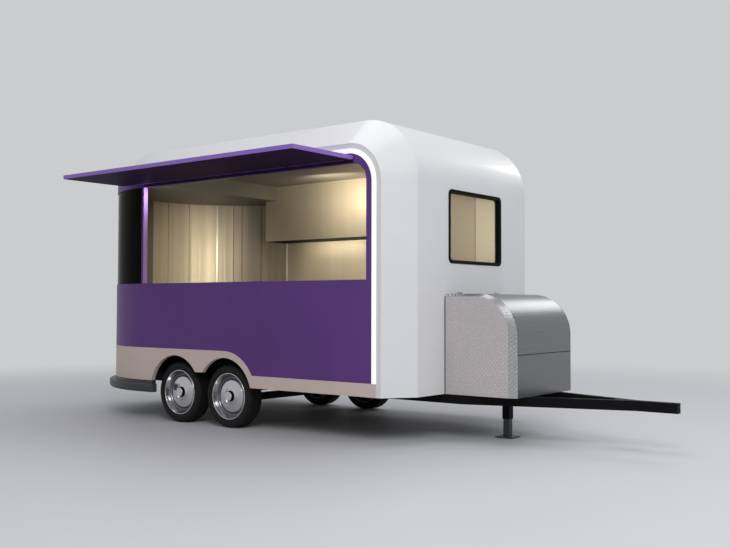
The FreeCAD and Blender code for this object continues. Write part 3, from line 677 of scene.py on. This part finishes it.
# round rear lining: upright waves in thin sheet, with cover strips on its joints; its near part
# darker, painted shade
rearSheet = dict(
    radius=1.0395, out=0.0035, sheet=0.0008, low=up(0.440), high=up(2.198), steps=700,
    fromAngle=-89.0, shadeUpTo=-6.0, toAngle=84.0,  # degrees, 0 is straight back
    waves=((0.0006, 37.0, 0.4), (0.0003, 83.0, 1.3), (0.0002, 149.0, 2.1), (0.0005, 23.0, 0.2)),
    joints=(-34.0, 37.8), stripWidth=0.020, stripHeight=0.0022,
    seams=(-12.0, 5.7, 20.0, 48.1, 53.6, 66.0), seamWidth=0.004, seamHeight=0.0004,
)


def rearPoint(angle, radius, z):
    turn = math.radians(angle)
    return (rearAxisX - radius * math.cos(turn), radius * math.sin(turn), z)


def makeRearSheet(name, start, end, finishName):
    look = rearSheet
    verts = []
    steps = int(look["steps"] * (end - start) / (look["toAngle"] - look["fromAngle"]))
    for i in range(steps + 1):
        angle = start + (end - start) * i / steps
        turn = math.radians(angle)
        wave = sum(size * math.sin(turn * rate + shift) for size, rate, shift in look["waves"])
        radius = look["radius"] - look["out"] + wave
        for r in (radius, radius + look["sheet"]):
            verts += [rearPoint(angle, r, z) for z in (look["low"], look["high"])]
    addPiece(name, verts, ribbonFaces(steps + 1), finishName, "trailer", "lining", sharp=60)


def makeUprights(name, angles, width, height, finishName):
    look = rearSheet
    half = math.degrees(width / 2 / look["radius"])
    foot, top = 0.0050, 0.0052 + height
    section = ((-half, 0.001), (-half, foot), (-half * 0.7, top), (half * 0.7, top), (half, foot),
               (half, 0.001))
    verts, faces = [], []
    for middle in angles:
        start = len(verts)
        for z in (look["low"] + 0.002, look["high"] - 0.002):
            for angle, inward in section:
                verts.append(rearPoint(middle + angle, look["radius"] - inward, z))
        faces += [tuple(range(start, start + 6)), tuple(range(start + 11, start + 5, -1))]
        for k in range(6):
            m = (k + 1) % 6
            faces.append((start + k, start + m, start + 6 + m, start + 6 + k))
    addPiece(name, verts, faces, finishName, "trailer", "lining")


def makeRearLining():
    look = rearSheet
    makeRearSheet("rearLiningNearShaded", look["fromAngle"], look["shadeUpTo"], "rearLiningShade")
    makeRearSheet("rearLining", look["shadeUpTo"], look["toAngle"], "rearLiningMetal")
    makeUprights("rearCoverStrips", look["joints"], look["stripWidth"], look["stripHeight"],
                 "trimBright")
    makeUprights("rearSeams", look["seams"], look["seamWidth"], look["seamHeight"], "rubberSeal")


makeRearLining()

# far wall and door inside: a dark sheet under the housing, painted shade; an upright strip that
# glows, painted light; door lining
inside = dict(
    undersideSheet=0.003, stripX=-4.775, stripHalf=0.011, stripOut=0.006, housingLow=up(1.760),
    counterTop=up(1.266), doorMargin=0.012, doorHingeMargin=0.018, doorSheet=0.0075,
)


def makeInside():
    low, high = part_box("overhead_housing")
    bevelledBox(
        # painted shade: a near black sheet on the underside of the housing
        "housingUndersideShade", (low[0] + 0.004, low[1] + 0.0015, low[2] - inside["undersideSheet"]),
        (high[0] - 0.001, high[1] - 0.001, low[2] + 0.001), "rubberSeal", "trailer", "lining",
        0.0005, 1,
    )
    middle, half = inside["stripX"], inside["stripHalf"]
    # painted light: an upright strip that glows
    bevelledBox(
        "wallStrip", (middle - half, innerY - inside["stripOut"], inside["counterTop"]),
        (middle + half, innerY + 0.001, inside["housingLow"]), "stripBright", "trailer", "lining",
        0.001, 1,
    )
    low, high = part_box("entry_door")
    margin = inside["doorMargin"]
    bevelledBox(
        "doorInnerSheet", (low[0] + margin, innerY + 0.001, low[2] + margin),
        (high[0] - inside["doorHingeMargin"], innerY + inside["doorSheet"], high[2] - margin),
        "doorLining", "door", "purple_panel", 0.001, 1,
    )


makeInside()
print("inside made")

# tool box: raised bars on both side plates and on the slanted corner strips
toolBox = dict(
    sideX=0.572, sideTop=1.140, sideRound=0.285, frontX=0.640, frontTop=1.160, frontRound=0.330,
    halfWidth=0.471, frontHalf=0.445, sheet=0.0008, sunk=0.0005, pitch=0.0165, length=0.0160,
    width=0.0056, height=0.0024, margin=0.007, steps=24,
)


def boxOutline(reach, top, corner):
    # top edge, round front corner and front edge, from the body outwards and down
    outline = [(frontX + 0.002, up(top))]
    for k in range(toolBox["steps"] + 1):
        turn = math.pi / 2 * (1 - k / toolBox["steps"])
        outline.append((frontX + reach - corner + corner * math.cos(turn),
                        up(top) - corner + corner * math.sin(turn)))
    outline.append((frontX + reach, boxLow[2]))
    return outline


def lozenge(verts, faces, middle, along, across, out):
    start = len(verts)
    half, wide, high = toolBox["length"] / 2, toolBox["width"] / 2, toolBox["height"]
    for step in (along * half, across * wide, -along * half, -across * wide):
        verts.append(tuple(middle + step - out * 0.0002))
    for step in (along * half * 0.5, -along * half * 0.5):
        verts.append(tuple(middle + step + out * high))
    for face in ((0, 1, 4), (1, 5, 4), (1, 2, 5), (2, 3, 5), (3, 4, 5), (3, 0, 4), (3, 2, 1, 0)):
        faces.append(tuple(start + k for k in face))


def barLean(i, j):
    return 1 if (i + j) % 2 else -1  # neighbours cross each other


def makeSidePlate(name, side, sideLine):
    look = toolBox
    pitch, margin, corner = look["pitch"], look["margin"], look["sideRound"]
    face = side * (look["halfWidth"] + look["sheet"])
    outline = sideLine + [(frontX + 0.002, boxLow[2])]
    verts, faces = extruded(outline, side * (look["halfWidth"] - look["sunk"]), face)
    out = Vector((0, side, 0))
    endX, endZ = frontX + look["sideX"], up(look["sideTop"])
    arcX, arcZ = endX - corner, endZ - corner
    for i in range(1, int(look["sideX"] / pitch) + 1):
        for j in range(1, int((endZ - boxLow[2]) / pitch) + 1):
            x, z = frontX + i * pitch, boxLow[2] + j * pitch
            past = x > endX - margin or z > endZ - margin
            inCorner = x > arcX and z > arcZ
            if past or (inCorner and math.hypot(x - arcX, z - arcZ) > corner - margin):
                continue
            along = Vector((math.sqrt(0.5), 0, barLean(i, j) * math.sqrt(0.5)))
            lozenge(verts, faces, Vector((x, face, z)), along, along.cross(out), out)
    addPiece("boxSidePlate_" + name, verts, faces, "sidePlate", "trailer", "tread_plate", sharp=20)


def makeCornerPlate(name, side, sideLine, frontLine):
    look = toolBox
    count = len(sideLine)
    stripSide = [Vector((x, side * look["halfWidth"], z)) for x, z in sideLine]
    stripFront = [Vector((x, side * look["frontHalf"], z)) for x, z in frontLine]
    outs, verts = [], []
    for k in range(count):
        ahead = stripFront[min(k + 1, count - 1)] - stripFront[max(k - 1, 0)]
        out = ahead.cross(stripSide[k] - stripFront[k]).normalized()
        outs.append(out if out.dot(Vector((1, side, 1))) > 0 else -out)
        for lift in (-look["sunk"], look["sheet"]):
            verts += [tuple(stripSide[k] + outs[k] * lift), tuple(stripFront[k] + outs[k] * lift)]
    faces = ribbonFaces(count)
    travelled = [0.0]
    for k in range(1, count):
        travelled.append(travelled[-1] + (stripFront[k] - stripFront[k - 1]).length)
    segment = 0
    for i in range(1, int(travelled[-1] / look["pitch"])):
        run = i * look["pitch"]
        while travelled[segment + 1] < run:
            segment += 1
        part = (run - travelled[segment]) / (travelled[segment + 1] - travelled[segment])
        edgeA = stripSide[segment].lerp(stripSide[segment + 1], part)
        edgeB = stripFront[segment].lerp(stripFront[segment + 1], part)
        out = outs[segment].lerp(outs[segment + 1], part).normalized()
        cross = edgeA - edgeB
        places = max(1, int((cross.length - 2 * look["margin"]) / look["pitch"]) + 1)
        forward = (stripFront[segment + 1] - stripFront[segment]).normalized()
        for j in range(places):
            spot = 0.5 + (j - (places - 1) / 2) * look["pitch"] / cross.length
            along = (forward + cross.normalized() * barLean(i, j)).normalized()
            middle = edgeB + cross * spot + out * look["sheet"]
            lozenge(verts, faces, middle, along, along.cross(out).normalized(), out)
    addPiece("boxCornerPlate_" + name, verts, faces, "stripPlate", "trailer", "tread_plate",
             sharp=20)


def makeToolBox():
    look = toolBox
    sideLine = boxOutline(look["sideX"], look["sideTop"], look["sideRound"])
    frontLine = boxOutline(look["frontX"], look["frontTop"], look["frontRound"])
    for name, side in sides:
        makeSidePlate(name, side, sideLine)
        makeCornerPlate(name, side, sideLine, frontLine)
    for name, side in sides:
        ys = sorted((side * (look["halfWidth"] - 0.001), side * (look["halfWidth"] + 0.0035)))
        bevelledBox(
            "boxWallSeal_" + name, (frontX + 0.0002, ys[0], boxLow[2] + 0.002),
            (frontX + 0.0060, ys[1], up(look["sideTop"]) - 0.002), "rubberSeal", "trailer",
            "tread_plate", 0.001, 2,
        )


makeToolBox()
print("tool box made")

# front window: rubber bead on the frame
window = dict(
    half=0.415, low=up(1.407), high=up(2.007), cornerRound=0.045, inset=0.006,
    faceX=frontX + 0.004,
)
windowSection = [
    (0.005, -0.001), (0.005, 0.001), (0.0025, 0.003), (-0.0025, 0.003), (-0.005, 0.001),
    (-0.005, -0.001),
]


def makeWindow():
    inset = window["inset"]
    half, low, high = window["half"] - inset, window["low"] + inset, window["high"] - inset
    corners = [(-half, low), (half, low), (half, high), (-half, high)]
    outline = rounded([(y, z, window["cornerRound"] - inset) for y, z in corners], steps=10)
    path = [(window["faceX"], y, z) for y, z in outline]
    bead = swept(path, (1, 0, 0), windowSection)
    addPiece("windowBead", *bead, "rubberSeal", "trailer", "window_frame")


makeWindow()
print("window made")

# trim on the rear edge of the curved pane, in the lighter lilac: painted light
paneTrim = dict(halfAngle=0.35, sunk=0.002, out=0.0015)


def makePaneTrim():
    low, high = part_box("corner_glass")
    edge = -math.degrees(math.acos((rearAxisX - low[0]) / halfWidth))
    verts = []
    for angle in (edge - paneTrim["halfAngle"], edge, edge + paneTrim["halfAngle"]):
        for radius in (halfWidth - paneTrim["sunk"], halfWidth + paneTrim["out"]):
            verts += [rearPoint(angle, radius, z) for z in (low[2], high[2])]
    addPiece("paneTrim", verts, ribbonFaces(3), "jambPaint", "trailer", "purple_panel")


makePaneTrim()

# bumper: short moulded ends beside the wheel arches
bumperEnd = dict(
    rear=-4.500, front=-4.420, outerY=1.1450, innerY=1.0870, low=up(0.264), high=up(0.3395),
)
for name, side in sides:
    ys = sorted((side * bumperEnd["outerY"], side * bumperEnd["innerY"]))
    bevelledBox(
        "bumperEnd_" + name, (bumperEnd["rear"], ys[0], bumperEnd["low"]),
        (bumperEnd["front"], ys[1], bumperEnd["high"]), "bumperPlastic", "trailer", "bumper",
        0.009, 3,
    )
print("bumper made")

# door: edge trim, kick plate, lock
door = dict(
    trimInset=0.004, trimHingeInset=0.010, trimRound=0.02, trimOut=0.004, trimHalf=0.004,
    kickHeight=0.180, kickRise=0.03, lockRadius=0.017, lockBelowHandle=0.06,
)


def makeDoor():
    low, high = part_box("entry_door")
    face, inset = halfWidth, door["trimInset"]
    hingeX = high[0] - door["trimHingeInset"]
    corners = [(low[0] + inset, low[2] + inset), (hingeX, low[2] + inset),
               (hingeX, high[2] - inset), (low[0] + inset, high[2] - inset)]
    outline = rounded([(x, z, door["trimRound"]) for x, z in corners], steps=6)
    path = [(x, face - 0.0005, z) for x, z in outline]
    half, out = door["trimHalf"], door["trimOut"]
    section = [(half, 0), (half, out * 0.6), (half * 0.5, out), (-half * 0.5, out),
               (-half, out * 0.6), (-half, 0)]
    trim = swept(path, (0, 1, 0), section)
    addPiece("doorEdgeTrim", *trim, "rubberSeal", "door", "purple_panel")
    kickLow = low[2] + door["kickRise"]
    bevelledBox(
        "doorKickPlate", (low[0] + 0.05, face - 0.0003, kickLow),
        (high[0] - 0.06, face + 0.0015, kickLow + door["kickHeight"]), "handleSteel", "door",
        "door_metal", 0.0006, 1,
    )
    handleLow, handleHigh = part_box("door_handle")
    middle = ((handleLow[0] + handleHigh[0]) / 2, face - 0.0005,
              handleLow[2] - door["lockBelowHandle"])
    radius = door["lockRadius"]
    rose = [(0.0001, 0.0), (radius, 0.0), (radius, 0.003), (radius * 0.8, 0.005),
            (radius * 0.45, 0.005), (radius * 0.45, 0.008), (0.0001, 0.008)]
    addPiece("doorLock", *turnedUp(rose, middle, (0, 1, 0)), "handleSteel", "door", "door_metal")


makeDoor()

# rear: blank number plate in its holder, its lamp, two reflectors
rearEnd = dict(
    plateHalf=0.260, plateLow=up(0.715), plateHigh=up(0.825), border=0.012, sheet=0.003,
    lampHalf=0.045, lampGap=0.020, lampHeight=0.028, lampOut=0.030, reflectorAngle=34.0,
    reflectorRadius=0.032, reflectorHeight=up(0.560),
)


def curvedPlate(name, halfLength, low, high, outA, outB, finishName, slotName, steps=24):
    # plate on the round rear, in the middle of the trailer
    half = math.degrees(halfLength / halfWidth)
    verts = []
    for i in range(steps + 1):
        angle = -half + 2 * half * i / steps
        for r in (halfWidth + outA, halfWidth + outB):
            verts += [rearPoint(angle, r, z) for z in (low, high)]
    addPiece(name, verts, ribbonFaces(steps + 1), finishName, "trailer", slotName)


def makeRearEnd():
    look = rearEnd
    half, low, high, sheet = (look[key] for key in ("plateHalf", "plateLow", "plateHigh", "sheet"))
    border = look["border"]
    curvedPlate("plateHolder", half + border, low - border, high + border, -0.0005, sheet,
                "bumperPlastic", "bumper")
    curvedPlate("blankPlate", half, low, high, sheet - 0.0005, sheet + 0.0012, "platePlain",
                "grey_band")
    lampLow = high + look["lampGap"]
    curvedPlate("plateLamp", look["lampHalf"], lampLow, lampLow + look["lampHeight"], -0.0005,
                look["lampOut"], "bumperPlastic", "bumper", 6)
    r = look["reflectorRadius"]
    dome = [(0.0001, 0), (r, 0), (r, 0.010), (r * 0.9, 0.012), (r * 0.85, 0.0115),
            (0.0001, 0.0130)]
    for name, side in sides:
        angle = side * look["reflectorAngle"]
        middle = rearPoint(angle, halfWidth - 0.006, look["reflectorHeight"])
        out = Vector(rearPoint(angle, 1, 0)) - Vector((rearAxisX, 0, 0))
        addPiece("reflector_" + name, *turnedUp(dome, middle, out), "lampRed", "trailer", "lamp_lens")


makeRearEnd()
print("door and rear made")

# chassis: two bolts through each frame rail at each axle
chassis = dict(boltRadius=0.011, boltHeight=0.009, boltStep=0.09, boltBelowTop=0.035)


def hexBolt(name, middle, axis):
    r, h = chassis["boltRadius"], chassis["boltHeight"]
    washer = [(0.0001, -0.0005), (r * 1.5, -0.0005), (r * 1.5, 0.0025), (0.0001, 0.0025)]
    verts, faces = turnedUp(washer, middle, axis, 24)
    head = [(0.0001, 0.0020), (r, 0.0020), (r, h), (r * 0.8, h + 0.0015), (0.0001, h + 0.0015)]
    moreVerts, moreFaces = turnedUp(head, middle, axis, 6)
    start = len(verts)
    faces += [tuple(start + k for k in face) for face in moreFaces]
    addPiece(name, verts + moreVerts, faces, "zincSteel", "trailer", "zinc_steel", sharp=25)


def makeChassisBolts():
    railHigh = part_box("frame_rails")[1]
    for row in ("front", "rear"):
        centre, outwards = wheelPlace(row + "_near")
        for side in (-1, 1):
            for step in (-chassis["boltStep"], chassis["boltStep"]):
                middle = (centre[0] + step, side * railHigh[1], railHigh[2] - chassis["boltBelowTop"])
                hexBolt("axleBolt_%s_%d_%d" % (row, side, step > 0), middle, (0, side, 0))


makeChassisBolts()
print("chassis made")

# floor, light and camera
studio = dict(
    floorHalf=60.0, floorColour=(0.60, 0.605, 0.62), skyColour=(0.60, 0.605, 0.62),
    middle=(-3.0, 0.0, groundZ), fadeFrom=4.2, fadeTo=10.0,  # metres from the middle
    ambientColour=(0.93, 0.95, 1.0), worldStrength=0.42,
)


def backdropRays(nodes, links):
    # the backdrop shows to the camera, and in metal and through glass
    path = nodes.new("ShaderNodeLightPath")
    seen = path.outputs["Is Camera Ray"]
    for other in ("Is Glossy Ray", "Is Transmission Ray"):
        most = nodes.new("ShaderNodeMath")
        most.operation = "MAXIMUM"
        links.new(seen, most.inputs[0])
        links.new(path.outputs[other], most.inputs[1])
        seen = most.outputs[0]
    return seen


def makeFloor():
    half = studio["floorHalf"]
    mesh = bpy.data.meshes.new("floor")
    corners = [(x * half, y * half, groundZ) for x, y in ((-1, -1), (1, -1), (1, 1), (-1, 1))]
    mesh.from_pydata(corners, [], [(0, 1, 2, 3)])
    floor = bpy.data.objects.new("floor", mesh)
    bpy.context.collection.objects.link(floor)
    mat, nodes, links, shader = startMaterial("floorPaper")
    vector = objectCoords(nodes, links)
    tone = ramp(nodes, links, noise(nodes, links, vector, 0.7), 0.0, 1.0)
    shade = tuple(c * 0.985 for c in studio["floorColour"])
    colour = mixColour(nodes, links, tone, studio["floorColour"], shade)
    links.new(colour, shader.inputs["Base Color"])
    shader.inputs["Roughness"].default_value = 0.6
    away = nodes.new("ShaderNodeVectorMath")
    away.operation = "DISTANCE"
    away.inputs[1].default_value = studio["middle"]
    links.new(vector, away.inputs[0])
    fade = nodes.new("ShaderNodeMapRange")
    fade.interpolation_type = "SMOOTHSTEP"
    fade.inputs["From Min"].default_value = studio["fadeFrom"]
    fade.inputs["From Max"].default_value = studio["fadeTo"]
    links.new(away.outputs["Value"], fade.inputs["Value"])
    both = nodes.new("ShaderNodeMath")
    both.operation = "MULTIPLY"
    links.new(fade.outputs["Result"], both.inputs[0])
    links.new(backdropRays(nodes, links), both.inputs[1])
    far = nodes.new("ShaderNodeEmission")
    far.inputs["Color"].default_value = (*studio["skyColour"], 1)
    far.inputs["Strength"].default_value = 1.0
    mix = nodes.new("ShaderNodeMixShader")
    out = next(n for n in nodes if n.type == "OUTPUT_MATERIAL")
    links.new(both.outputs[0], mix.inputs["Fac"])
    links.new(shader.outputs[0], mix.inputs[1])
    links.new(far.outputs[0], mix.inputs[2])
    links.new(mix.outputs[0], out.inputs["Surface"])
    mesh.materials.append(mat)


def makeWorld():
    world = bpy.data.worlds.new("studio")
    bpy.context.scene.world = world
    world.use_nodes = True
    nodes, links = world.node_tree.nodes, world.node_tree.links
    nodes.clear()
    out = nodes.new("ShaderNodeOutputWorld")
    ambient = nodes.new("ShaderNodeBackground")
    ambient.inputs["Color"].default_value = (*studio["ambientColour"], 1)
    ambient.inputs["Strength"].default_value = studio["worldStrength"]
    backdrop = nodes.new("ShaderNodeBackground")
    backdrop.inputs["Color"].default_value = (*studio["skyColour"], 1)
    backdrop.inputs["Strength"].default_value = 1.0
    mix = nodes.new("ShaderNodeMixShader")
    links.new(backdropRays(nodes, links), mix.inputs["Fac"])
    links.new(ambient.outputs[0], mix.inputs[1])
    links.new(backdrop.outputs[0], mix.inputs[2])
    links.new(mix.outputs[0], out.inputs["Surface"])


bodyMiddle, white, warm = (-3.4, 0, 0.9), (1, 1, 1), (1.0, 0.90, 0.70)
lamps = {  # place, target, size, power, colour, spread in degrees
    "keyLight": ((3.4, -7.0, 6.0), bodyMiddle, (4, 4), 385, white, 180),
    "frontLight": ((6.5, 0.5, 6.5), bodyMiddle, (4, 3), 102, white, 180),
    "topLight": ((-3.0, 0.5, 8.0), bodyMiddle, (7, 5), 220, white, 180),
    "backLight": ((-1.4, 9.5, 5.8), bodyMiddle, (4, 2.2), 115, white, 180),
    "cabinLight": ((-2.3, 0.0, 1.95), (-3.4, 0.2, 1.2), (0.5, 0.5), 3.0, warm, 180),
    "doorLight": ((-2.15, 0.35, 1.45), (-2.15, 1.04, 1.30), (0.5, 0.5), 3.6, warm, 180),
    "rearLight": ((-3.0, -0.6, 1.45), (-5.5, 0.38, 1.10), (0.4, 0.3), 1.9, warm, 40),
    "wallLight": ((-3.84, 0.76, 1.40), (-3.84, 1.04, 1.20), (1.2, 0.03), 2.2, warm, 180),
    "housingLight": ((-3.50, 0.20, 1.84), (-3.56, 0.70, 1.78), (0.4, 0.15), 4.2, warm, 180),
    "jambLight": ((-4.45, -1.06, 1.80), (-4.64, -1.06, 1.60), (0.05, 0.04), 1.1,
                  (0.95, 0.9, 1.0), 180),
}


def areaLight(name, place, target, size, power, colour, spread):
    light = bpy.data.lights.new(name, "AREA")
    light.shape = "RECTANGLE"
    light.size, light.size_y = size
    light.energy = power
    light.color = colour
    light.spread = math.radians(spread)
    lamp = bpy.data.objects.new(name, light)
    lamp.location = place
    aim = Vector(target) - Vector(place)
    lamp.rotation_euler = aim.to_track_quat("-Z", "Y").to_euler()
    lamp.visible_camera = False
    bpy.context.collection.objects.link(lamp)


makeFloor()
makeWorld()
for name, look in lamps.items():
    areaLight(name, *look)

camera = dict(
    place=(2.4931, -6.7770, 0.7489),  # metres, in the frame
    yaw=38.191, pitch=1.829, roll=0.119,  # degrees
    focalPixels=945.085, pictureWidth=730, sensor=36.0,
)


def makeCamera():
    data = bpy.data.cameras.new("camera")
    data.sensor_width = camera["sensor"]
    data.lens = camera["focalPixels"] / camera["pictureWidth"] * camera["sensor"]
    data.clip_end = 200.0
    obj = bpy.data.objects.new("camera", data)
    yaw, pitch, roll = (math.radians(camera[k]) for k in ("yaw", "pitch", "roll"))
    turn = Matrix.Rotation(yaw, 4, "Z") @ Matrix.Rotation(math.pi / 2 + pitch, 4, "X")
    turn = turn @ Matrix.Rotation(roll, 4, "Z")
    obj.matrix_world = Matrix.Translation(camera["place"]) @ turn
    bpy.context.collection.objects.link(obj)
    bpy.context.scene.camera = obj


makeCamera()
bpy.context.scene.view_settings.view_transform = "Standard"
print("studio ready")
